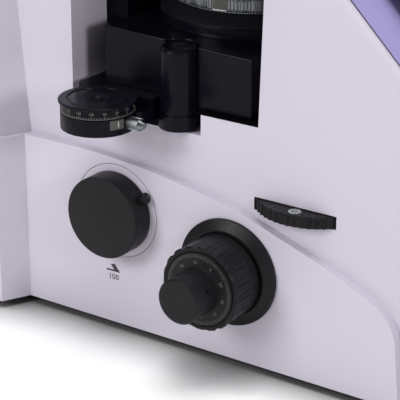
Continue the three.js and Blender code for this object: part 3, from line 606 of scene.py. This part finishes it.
def focus_side(side, flip):
    """The flange, coarse knob and fine knob of one side; `flip` turns the left set to the right."""
    place = STAND @ Matrix.Translation(FOCUS) @ flip
    face = -PANEL_X
    turned(f"focus_flange_{side}_ring", "x", [
        (6.8, face - 0.2), (33.2, face - 0.2), (33.2, face - 2.3), (31.4, face - 3.1), (27.4, face - 5.4),
        (26.2, face - 5.4), (25.4, face - 4.4), (6.8, face - 4.4), (6.8, face - 0.2),
    ], "stand", PLASTIC, "black_plastic", (f"focus_flange_{side}",), place=place, sides=144, fillet=0.3)
    rear, front = face - 6.3, face - 30.9
    bm = bmesh.new()
    bore = [(24.9, front), (23.1, front + 0.3), (23.1, front + 2), (6.3, front + 2)]
    hub = [(6.3, rear), (24.9, rear), (25.3, rear - 0.4)]
    barrel = dense([(COARSE_R - 0.25, rear - 1.5), (COARSE_R, front + 3)], 0.9)[:-1]
    barrel += dense([(COARSE_R, front + 3), (COARSE_R + 0.35, front + 1.2)], 0.6)
    profile = [(6.3, front + 2)] + hub + barrel + bore
    lathe(bm, "x", profile, sides=360, fillet=0.0, shape=coarse_shape)
    for k in range(PADS):
        a = math.radians(PAD_PHASE + PAD_PITCH * k)
        spot = Matrix.Translation((-103.0, 25.1 * math.cos(a), 25.1 * math.sin(a)))
        dot = bmesh.ops.create_uvsphere(bm, u_segments=12, v_segments=8, radius=1.1)
        bmesh.ops.transform(bm, matrix=spot, verts=dot["verts"])
    add(f"coarse_knob_{side}_grip", settle(bm, "coarse", place, 32), "coarse_drive", PLASTIC,
        (f"coarse_knob_{side}",))
    seat = face - 29.2
    drum = seat - 2
    turned(f"fine_knob_{side}_turned", "x", [
        (3.7, seat), (22.6, seat), (22.6, drum + 0.3), (22.3, drum), (14.2, drum - 0.4),
        (14.05, drum - 0.9), (13.95, -131), (13.8, -141.3), (12.7, -142.4), (0, -142.4), (0, -131),
        (3.7, -131), (3.7, seat),
    ], "fine_drive", PLASTIC, "black_plastic", (f"fine_knob_{side}",), place=place, sides=144, fillet=0.25)
    bm = bmesh.new()
    for k in range(100):
        inner = 19.3 if k % 10 == 0 else 19.8
        turn = Matrix.Rotation(math.radians(3.6 * k), 4, "X")
        block(bm, (drum - 0.16, drum + 0.05), (inner, 21.6), (-0.13, 0.13), turn)
    for k in range(10):
        a = math.radians(180 - 60.6 - 36 * k)
        out = Vector((0, math.cos(a), math.sin(a)))
        spot = Vector((drum - 0.36, 0, 0)) + out * 16.7
        lettering(bm, str(10 * k), 2.7, frame_of(spot, out.cross(Vector((1, 0, 0))), out), 0.14)
    add(f"fine_scale_{side}", settle(bm, "fine_scale", place), "fine_drive", GREY_PRINT)
    out = Vector((0, math.cos(SCREW_ANGLE), math.sin(SCREW_ANGLE)))
    spot = Vector((-131.0, 0, 0)) + out * 13.2
    hole = place @ frame_of(spot, (1, 0, 0), out.cross(Vector((1, 0, 0))))
    turned(f"fine_set_screw_{side}", "z", [
        (0, 0), (1.3, 0), (1.3, 0.78), (0, 0.78),
    ], "fine_drive", DEEP_BLACK_AND_SHADE, "black_plastic", place=hole, sides=24, fillet=0.05)


focus_side("left", Matrix.Identity(4))
focus_side("right", Matrix.Rotation(math.pi, 4, "Z"))


# ---------- brightness wheel ----------
def wheel():
    body = "wheel"
    hub = [(0, 92.1), (3, 92.1), (3, 102.0), (34.9, 102.0)]
    profile = hub + dense([(36, 102.2), (36, 108.5)], 1.3) + [(34.9, 109.1), (0, 109.1)]
    turned("brightness_wheel_ribbed", "z", profile, body, PLASTIC, "black_plastic",
           ("brightness_wheel",), WHEEL, sides=432, fillet=0.0, shape=wheel_ribs)
    bm = bmesh.new()
    spot = (-88.7, -125.3, 109.1)
    lathe(bm, "z", [(0, 0), (3.7, 0), (3.7, 0.12), (0, 0.12)], spot, 48, 0.0)
    add("wheel_symbol_disc", settle(bm, "symbol"), body, SYMBOL)
    bm = bmesh.new()
    lathe(bm, "z", [(0.9, 0.1), (1.5, 0.1), (1.5, 0.2), (0.9, 0.2), (0.9, 0.1)], spot, 32, 0.0)
    for k in range(8):
        turn = Matrix.Translation(spot) @ Matrix.Rotation(k * math.pi / 4, 4, "Z")
        block(bm, (2.0, 3.1), (-0.3, 0.3), (0.1, 0.2), turn)
    add("wheel_symbol", settle(bm, "symbol"), body, PRINT)


def wheel_ribs(r, a, t):
    """Ribs on the rim only."""
    if r < 35.5:
        return r
    u = (math.degrees(a) + 3) % 7 - 3.5
    return r - 1.0 * min(1.0, max(0.0, (abs(u) - 0.9) / 0.5))


wheel()


# ---------- analyser ----------
SCALE_START = -152


def analyser():
    softened("analyser_slide_holder", "analyser_holder", BLACK, 0.5,
             keep=lambda e: not drum_edge(e))
    centre = DIAL
    turned("analyser_drum", "z", [
        (3.4, 143.4), (21.4, 143.4), (22.06, 144.1), (22.06, 153.3), (21.9, 153.55), (3.4, 153.55),
        (3.4, 143.4),
    ], "analyser", BLACK, "black_paint", centre=centre, sides=144, fillet=0.2)
    turned("analyser_dial_turned", "z", [
        (0, 144.6), (3, 144.6), (3, 153.9), (22.0, 153.9), (22.0, 159.0), (22.8, 159.2), (23.1, 159.6),
        (23.1, 160.7), (22.8, 161), (17.9, 161), (17.8, 160.5), (17.3, 160.5), (17.2, 160.8),
        (3.1, 160.8), (3.0, 160.2), (0, 160.2),
    ], "dial", BLACK, "black_plastic", ("analyser_dial",), centre, sides=144, fillet=0.15)
    bm = bmesh.new()
    hub = [(0, 160.1), (2.3, 160.1), (2.3, 160.9), (1.3, 160.9), (1.2, 160.35), (0, 160.35)]
    lathe(bm, "z", hub, centre, 48, 0.1)
    add("dial_hub_screw", settle(bm, "hub"), "dial", METAL)
    bm = bmesh.new()
    for k in range(90):
        long = k % 5 == 0
        turn = Matrix.Translation(centre) @ Matrix.Rotation(math.radians(SCALE_START + 4 * k), 4, "Z")
        block(bm, (21.9, 22.05), (-0.16, 0.16), (154.5, 156.3 if long else 155.5), turn)
    line = [(21.9, 154.3), (22.05, 154.3), (22.05, 154.5), (21.9, 154.5), (21.9, 154.3)]
    lathe(bm, "z", line, centre, 144, 0)
    for k in range(18):
        a = math.radians(SCALE_START + 2 * (100 - 10 * k))
        out = Vector((math.cos(a), math.sin(a), 0))
        spot = Vector(centre) + out * 22.02 + Vector((0, 0, 157.6))
        lettering(bm, str(10 * k), 2.1, frame_of(spot, (-out.y, out.x, 0), (0, 0, 1)), 0.1)
    add("dial_scale", settle(bm, "scale"), "dial", DIAL_PRINT)
    # a raised label plate on the drum; its lighter grey is partly painted reflection of its flat face
    bm = bmesh.new()
    arc = [math.radians(a) for a in range(-124, -99, 2)]
    outline = [(22.16 * math.cos(a), 22.16 * math.sin(a)) for a in arc]
    outline += [(21.8 * math.cos(a), 21.8 * math.sin(a)) for a in reversed(arc)]
    prism(bm, outline, 147.6, 153.2)
    bmesh.ops.transform(bm, matrix=Matrix.Translation(centre), verts=bm.verts)
    add("index_patch", settle(bm, "patch"), "analyser", PATCH)
    bm = bmesh.new()
    turn = Matrix.Translation(centre) @ Matrix.Rotation(math.radians(-110.3), 4, "Z")
    block(bm, (22.0, 22.2), (-0.3, 0.3), (148.8, 152.2), turn)
    add("index_line", settle(bm, "line"), "analyser", WHITE_PRINT)
    turned("analyser_clamp_screw", "y", [
        (0, -10.5), (1.9, -10.5), (1.9, -22.4), (3.9, -22.4), (3.9, -30.6), (3.2, -31.4), (1.7, -34),
        (0, -34),
    ], "analyser_screw", GRIP, "bright_steel", ("analyser_lock_screw",), CLAMP, sides=240, fillet=0.25,
        shape=ribs(24, 0.35, 0.5, (-31.0, -22.2)))


def drum_edge(e):
    """The faceted drum is covered by a round one."""
    return all(math.hypot(v.co.x - DIAL[0], v.co.y - DIAL[1]) < 22.3 for v in e.verts)


analyser()


# ---------- nosepiece carriage ----------
def carriage():
    bm = bmesh.new()
    half, front, rear = 77.5, -88.3, 16.6
    bottom, top = 152.6, 190.5
    recess = 11.75
    outline = []
    for side in (1, -1):
        arc = [math.radians(a) for a in range(97, 264, 6)]
        bite = [
            (side * (BOSS_X + recess * math.cos(a)), TURRET_Y + side * recess * math.sin(a)) for a in arc
        ]
        if side == 1:
            outline += [(half, front)] + sorted(bite, key=lambda p: p[1]) + [(half, rear)]
        else:
            outline += [(-half, rear)] + sorted(bite, key=lambda p: -p[1]) + [(-half, front)]

    def sloped(u, v, w):
        """The top rises a little towards the rear."""
        return (u, v, w + 0.036 * (v - TURRET_Y)) if w == top else (u, v, w)
    prism(bm, outline, bottom, top, sloped)
    mesh = settle(bm, "block")
    obj = add("carriage_block", mesh, "carriage", BLACK, ("nosepiece_carriage",))
    tool = bmesh.new()
    block(tool, (-25, 25), (-31, 30), (140, 186))
    cutter = bpy.data.objects.new("cutter", settle(tool, "cutter"))
    collection.objects.link(cutter)
    carve(obj, cutter)
    rounded(obj, 1.1, 4)
    for side, x in (("left", -BOSS_X), ("right", BOSS_X)):
        turned(f"carriage_boss_{side}", "z", [
            (4.4, 140), (11.9, 140), (12.3, 140.6), (12.3, 148.7), (12.0, 149.1), (11.1, 149.2),
            (11.1, 149.7), (11.2, 150.0), (11.2, 187.6), (10.0, 189.4), (0, 189.4), (0, 183.5),
            (4.4, 183.5), (4.4, 140),
        ], "carriage", BLACK, "black_paint", centre=(x, TURRET_Y, 0), sides=96, fillet=0.7)
    turned("carriage_seat", "z", [
        (10.5, 187.6), (57.6, 187.6), (57.6, 190.8), (57, 191.4), (57, 196.4), (46.7, 196.4), (46.7, 193.3),
        (10.5, 193.3), (10.5, 187.6),
    ], "carriage", BLACK, "black_paint", centre=(0, TURRET_Y, 0), sides=144, fillet=0.5)
    turned("carriage_cone", "z", [
        (46.7, 196.5), (57, 196.5), (57, 197.1), (48.8, 202.9), (46.7, 202.9), (46.7, 196.5),
    ], "carriage", CAST, "black_paint", centre=(0, TURRET_Y, 0), sides=144, fillet=0.6)


def carve(obj, cutter):
    """Cuts the tool mesh out of a piece and keeps only the result."""
    mod = obj.modifiers.new("cut", "BOOLEAN")
    mod.object = cutter
    mod.operation = "DIFFERENCE"
    mod.solver = "EXACT"
    bpy.context.view_layer.update()
    made = bpy.data.meshes.new_from_object(obj.evaluated_get(bpy.context.evaluated_depsgraph_get()))
    obj.modifiers.clear()
    obj.data = made
    bpy.data.objects.remove(cutter)


def rounded(obj, width, steps):
    """Rounds a piece's own sharp edges."""
    mod = obj.modifiers.new("round", "BEVEL")
    mod.width = width * MM
    mod.segments = steps
    mod.limit_method = "ANGLE"
    mod.angle_limit = math.radians(35)
    mod.harden_normals = True
    weighted(obj)


carriage()


# ---------- revolving nosepiece ----------
def ring_ribs(r, a, t):
    """Grip ribs with a plain patch at each objective's place."""
    if r < 48.3 or not 204.6 < t < 211.8:
        return r
    u = math.degrees(a) % 72
    if 38.5 < u < 50.5:
        return r - 0.2
    v = (math.degrees(a) / 2.4) % 1.0
    return r - 0.6 * (1 - min(1.0, max(0.0, (0.32 - abs(v - 0.5)) / 0.1 + 0.5)))


def turret():
    centre = (0, TURRET_Y, 0)
    turned("turret_cone", "z", [
        (0, 193.6), (40, 193.6), (45.6, 200.0), (45.6, 200.5), (44.2, 200.7), (44.2, 214), (0, 214),
    ], "turret", BLACK, "black_paint", ("turret_bowl",), centre, sides=144, fillet=0.4)
    edge = [(44.5, 204.3), (48.0, 204.3), (48.4, 204.5)]
    wall = dense([(48.5, 204.7), (48.5, 211.7)], 1.7)
    lip = [(48.4, 211.9), (48.0, 212.1), (44.5, 212.1), (44.5, 204.3)]
    turned("turret_lip", "z", [
        (44.5, 203.3), (47.9, 203.3), (48.3, 203.5), (48.3, 204.1), (44.5, 204.2), (44.5, 203.3),
    ], "turret", GRIP, "bright_steel", (), centre, sides=720, fillet=0.0, shape=ribs(120, 0.6, 0.45))
    turned("turret_collar", "z", [
        (44.5, 212.2), (48.1, 212.2), (48.5, 212.6), (48.5, 213.6), (48.0, 214), (44.5, 214), (44.5, 212.2),
    ], "turret", METAL, "black_paint", (), centre, sides=144, fillet=0.2)
    turned("turret_grip", "z", edge + wall + lip, "turret", GRIP, "bright_steel", ("turret_grip_ring",),
           centre, sides=1080, fillet=0.0, shape=ring_ribs)
    turret_patches(centre)
    for number, spec in enumerate(OBJECTIVES):
        objective(number, *spec)


def turret_patches(centre):
    """Plain grey patches between the ribs, one at each objective's place."""
    for k in range(5):
        arc = [math.radians(72 * k + u / 2) for u in range(78, 101, 2)]
        outline = [(48.42 * math.cos(a), 48.42 * math.sin(a)) for a in arc]
        outline += [(48.1 * math.cos(a), 48.1 * math.sin(a)) for a in reversed(arc)]
        bm = bmesh.new()
        prism(bm, outline, 204.9, 211.5)
        bmesh.ops.transform(bm, matrix=Matrix.Translation(centre), verts=bm.verts)
        add(f"turret_patch_{k + 1}", settle(bm, "turret_patch"), "turret", PATCH)


# wide radius, shoulder height, nose radius, tip height, colour band
OBJECTIVES = [
    (14, 22, 8, 42, RED), (14, 26, 6.5, 43.5, YELLOW), (14, 29, 5.5, 44.5, GREEN), (14, 32, 5, 45, BLUE),
    (13, 16, 9, 34, WHITE_PRINT),
]


def objective(i, wide, shoulder, nose, tip, band):
    a = math.pi / 2 + i * 2 * math.pi / len(OBJECTIVES)
    ring = TURRET_Y - OPTIC_Y
    spot = (-ring * math.cos(a), TURRET_Y - ring * math.sin(a), 214)
    turned(f"objective_{i + 1}_barrel", "z", [
        (0, -6), (10, -6), (10, 0.3), (12.5, 0.3), (12.5, 4), (wide - 0.6, 4.6), (wide, 5.2), (wide, 10),
        (wide - 0.5, 10.2), (wide - 0.5, 10.8), (wide, 11), (wide, shoulder - 1.5), (wide - 1, shoulder),
        (nose + 2.5, shoulder + 5), (nose, tip - 1), (nose - 0.8, tip), (nose - 2.2, tip),
        (nose - 2.6, tip - 0.8), (0, tip - 0.8),
    ], "turret", CHROME, "objective_chrome", (f"objective_{i + 1}",), spot, sides=96, fillet=0.25)
    low = shoulder - 4
    turned(f"objective_{i + 1}_band", "z", [
        (wide - 0.4, low), (wide + 0.05, low), (wide + 0.05, low + 1.6), (wide - 0.4, low + 1.6),
        (wide - 0.4, low),
    ], "turret", band, "objective_chrome", centre=spot, sides=72, fillet=0.03)
    bm = bmesh.new()
    lens = [(0, tip - 0.9), (nose - 2.7, tip - 0.9), (nose - 3.2, tip - 0.5), (0, tip - 0.35)]
    lathe(bm, "z", lens, spot, 48, 0.1)
    add(f"objective_{i + 1}_front_lens", settle(bm, "lens"), "turret", GLASS)


turret()


# ---------- everything else that keeps its CAD shape ----------
SOFT_EDGES = {
    "illuminator_column": 0.6, "lamp_house": 0.5, "stage_base_plate": 0.7, "stage_y_plate": 0.7,
    "stage_x_plate": 0.8, "head_body": 2.0, "eyepiece_arm_left": 0.8, "eyepiece_arm_right": 0.8,
    "power_inlet": 0.5, "power_switch": 0.5,
}
for node, width in SOFT_EDGES.items():
    slot = next(p["material_slot"] for p in frame["record"]["subparts"] if p["node"] == node)
    softened(f"{node}_finished", node, SLOT_OF[slot], width)


def feet():
    for corner, (x, y) in {"front_left": (-62, -180), "front_right": (62, -180),
                           "rear_left": (-85, 195), "rear_right": (85, 195)}.items():
        turned(f"foot_{corner}_pad", "z", [
            (0, 0), (12.5, 0), (14, 1.5), (14, 5.2), (0, 5.2),
        ], "stand", RUBBER, "rubber", (f"foot_{corner}",), (x, y, 0), sides=72, fillet=0.4)


def stage_pieces():
    z = STAGE_TOP
    turned("stage_insert_plate", "z", [
        (15, z - 3.7), (55, z - 3.7), (55, z), (12, z), (12, z - 1), (15, z - 3.7),
    ], "x_stage", BRIGHT, "bright_steel", ("stage_insert",), (0, OPTIC_Y, 0), sides=144, fillet=0.25)
    turned("stage_y_knob_grip", "z", [
        (4.4, 278.3), (4.4, 232), (13, 232), (14, 233), (14, 249), (13, 250), (6.5, 250), (6.5, 278.3),
        (4.4, 278.3),
    ], "y_knob", PLASTIC, "black_plastic", ("stage_y_knob",), STAGE_KNOB, sides=240, fillet=0.3,
        shape=ribs(40, 0.5, 0.55, (233.2, 248.8)))
    turned("stage_x_knob_grip", "z", [
        (0, 210), (9.5, 210), (10.5, 211), (10.5, 230.5), (9.5, 231.5), (4, 231.5), (4, 278.3), (0, 278.3),
    ], "x_knob", PLASTIC, "black_plastic", ("stage_x_knob",), STAGE_KNOB, sides=192, fillet=0.3,
        shape=ribs(32, 0.45, 0.55, (211.4, 230.2)))


def head_pieces():
    turned("head_flange_ring", "z", [
        (22, -7), (31, -7), (31, 0.4), (40, 0.4), (40, 6), (38, 8), (22, 8), (22, -7),
    ], "stand", METAL, "black_metal", ("head_flange",), place=HEAD, sides=144, fillet=0.4)
    turned("diopter_ring_knurled", "z", [
        (11.9, 160.4), (17.2, 160.4), (17.2, 171), (11.9, 171), (11.9, 160.4),
    ], "diopter", PLASTIC, "black_plastic", ("diopter_ring",), (-EYE_X, 0, 0), HEAD, sides=288, fillet=0.3,
        shape=ribs(48, 0.4, 0.5, (161.2, 170.2)))
    for side, x, shoulder in (("left", -EYE_X, 171.4), ("right", EYE_X, 160.4)):
        turned(f"eyepiece_{side}_turned", "z", [
            (8, 125), (11.5, 125), (11.5, shoulder), (16.5, shoulder), (16.5, EYE_END - 20),
            (12.5, EYE_END - 19), (9, EYE_END - 9), (8, EYE_END - 14), (8, 125),
        ], f"{side}_arm", PLASTIC, "black_plastic", (f"eyepiece_{side}",), (x, 0, 0), HEAD,
            fillet=0.4)
        cup = [(12.8, EYE_END - 19.5), (16.6, EYE_END - 19.5)]
        for k in range(4):
            t = EYE_END - 19 + 2.2 * k
            cup += [(16.8, t), (16.8, t + 1.2), (16.2, t + 1.5), (16.2, t + 1.9)]
        cup += [(18, EYE_END - 9), (18, EYE_END - 1), (16.6, EYE_END), (14.5, EYE_END - 1),
                (12.8, EYE_END - 9), (12.8, EYE_END - 19.5)]
        turned(f"eyecup_{side}", "z", cup, f"{side}_arm", RUBBER, "rubber", (), (x, 0, 0), HEAD,
               fillet=0.3)
        bm = bmesh.new()
        lens = [(0, EYE_END - 13), (10.2, EYE_END - 13.2), (10.2, EYE_END - 12), (6, EYE_END - 11.2),
                (0, EYE_END - 10.8)]
        lathe(bm, "z", lens, (x, 0, 0), 64, 0.0)
        add(f"eye_lens_{side}", settle(bm, "eye_lens", HEAD), f"{side}_arm", GLASS)


feet()
stage_pieces()
head_pieces()


# ---------- CAD nodes that stay: a light edge round and their finish ----------
def dress(node, slot):
    obj = frame["nodes"][node]
    obj.data.materials.clear()
    obj.data.materials.append(SLOT_OF[slot])
    weld = obj.modifiers.new("weld", "WELD")
    weld.merge_threshold = 2e-6
    mod = obj.modifiers.new("round", "BEVEL")
    mod.width = 0.25 * MM
    mod.segments = 2
    mod.limit_method = "ANGLE"
    mod.angle_limit = math.radians(40)


replaced = {n for o in bpy.data.objects if "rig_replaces" in o for n in o["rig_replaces"]}
for part in frame["record"]["subparts"]:
    if part["node"] not in replaced:
        dress(part["node"], part["material_slot"])
